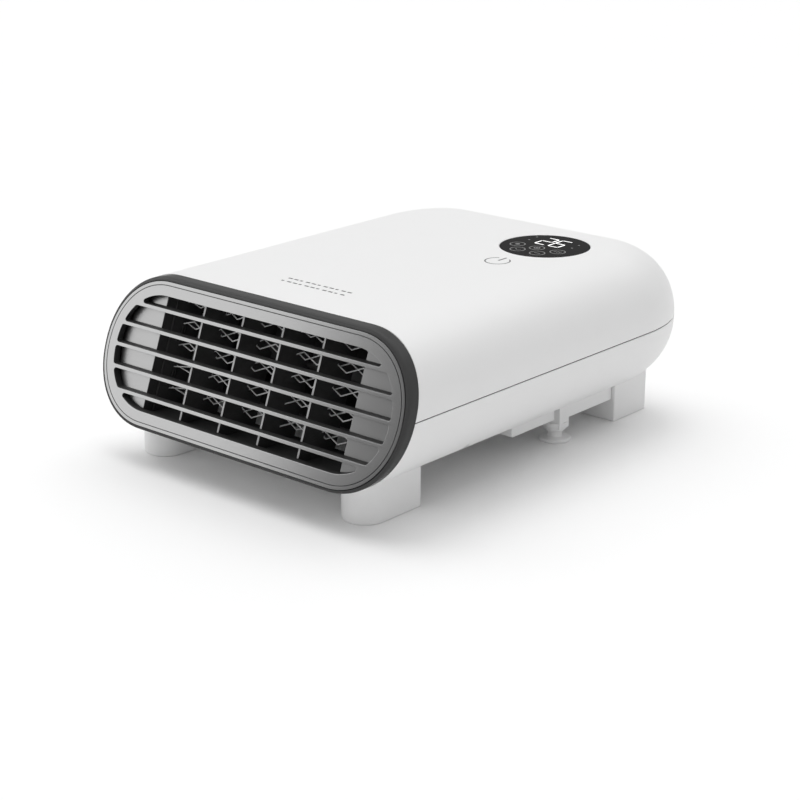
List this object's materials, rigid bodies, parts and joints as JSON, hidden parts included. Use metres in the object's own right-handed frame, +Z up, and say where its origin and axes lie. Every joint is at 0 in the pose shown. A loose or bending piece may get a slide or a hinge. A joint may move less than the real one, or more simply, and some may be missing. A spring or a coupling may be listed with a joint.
{
  "type": "fan convector heater",
  "caption": "Low flat fan convector heater with a leaning slotted outlet, cross-flow blower, touch control disc and tip-over plunger under a rounded white casing.",
  "frame": {"origin": "centre of the whole heater's box, at the level of the feet's undersides", "axes": "+X to the right as seen by someone facing the outlet, the outlet faces -Y, +Z up"},
  "size_m": [0.2556, 0.326, 0.1141],
  "materials": {
    "casing_white": "fine satin moulded ABS, white",
    "bezel_charcoal": "glossy charcoal moulding",
    "grille_silver": "satin silver paint",
    "grille_dark": "matt black heat-resistant plastic",
    "lens_black": "polished black touch lens with white markings",
    "heater_steel": "plain light grey steel sheet",
    "mica": "dark mica board with light cut edges",
    "nichrome": "bright resistance ribbon",
    "blower_grey": "dark grey glass-filled plastic",
    "motor_steel": "bare steel",
    "copper": "enamelled copper winding",
    "circuit": "green circuit board",
    "component_black": "black moulded component case",
    "ceramic": "off-white ceramic",
    "rubber_black": "matt black rubber",
    "filter_foam": "open black filter foam",
    "screw_steel": "zinc-plated steel"
  },
  "bodies": {
    "casing": {"upper_casing": "casing_white", "lower_casing": "casing_white", "rear_grille": "casing_white", "cord_panel": "casing_white", "dust_filter": "filter_foam", "front_bezel": "bezel_charcoal", "grille_face": "grille_silver", "grille_frame": "grille_dark", "heater_frame": "heater_steel", "mica_board_1": "mica", "mica_board_2": "mica", "mica_board_3": "mica", "mica_board_4": "mica", "mica_board_5": "mica", "mica_board_6": "mica", "heating_wire_front": "nichrome", "heating_wire_rear": "nichrome", "thermal_cutout": "motor_steel", "thermal_fuse": "ceramic", "heater_terminals": "ceramic", "motor_stator": "motor_steel", "motor_coil": "copper", "motor_bracket_outer": "motor_steel", "motor_bracket_inner": "motor_steel", "motor_bearing_outer": "blower_grey", "motor_bearing_inner": "blower_grey", "fan_side_left": "blower_grey", "fan_side_right": "blower_grey", "end_bearing": "rubber_black", "fan_scroll": "blower_grey", "fan_tongue": "blower_grey", "control_lens": "lens_black", "display_module": "component_black", "control_board": "circuit", "buzzer": "component_black", "control_cover": "component_black", "power_board": "circuit", "relay_1": "component_black", "relay_2": "component_black", "power_supply": "component_black", "mains_terminals": "ceramic", "cord_gland": "rubber_black", "front_foot_left": "casing_white", "front_foot_right": "casing_white", "rear_foot_left": "casing_white", "rear_foot_right": "casing_white", "switch_fairing_front": "casing_white", "switch_fairing_rear": "casing_white", "tip_spring": "motor_steel", "tip_spring_housing": "component_black", "tip_microswitch": "component_black", "casing_screw_1": "screw_steel", "casing_screw_2": "screw_steel", "casing_screw_3": "screw_steel", "casing_screw_4": "screw_steel"},
    "fan": {"impeller": "blower_grey", "motor_shaft": "motor_steel", "motor_rotor": "motor_steel"},
    "plunger": {"tip_plunger": "casing_white"},
    "lever": {"tip_switch_lever": "motor_steel"}
  },
  "joints": [
    {"name": "fan_spin", "type": "hinge", "parent": "casing", "child": "fan", "pos_m": [0, -0.04197, 0.0685], "axis": [1, 0, 0], "continuous": true},
    {"name": "plunger_drop", "type": "slide", "parent": "casing", "child": "plunger", "axis": [0, 0, -1], "range_m": [0, 0.0045], "stiffness_N_per_m": 60, "springref_m": 0.012, "deforming": ["tip_spring"]},
    {"name": "lever_swing", "type": "hinge", "parent": "casing", "child": "lever", "pos_m": [0.075, 0.04553, 0.0548], "axis": [0, 1, 0], "range_deg": [0, 13]}
  ],
  "couplings": [
    {"joint": "lever_swing", "follows": "plunger_drop", "rad_per_m": 48.9}
  ]
}
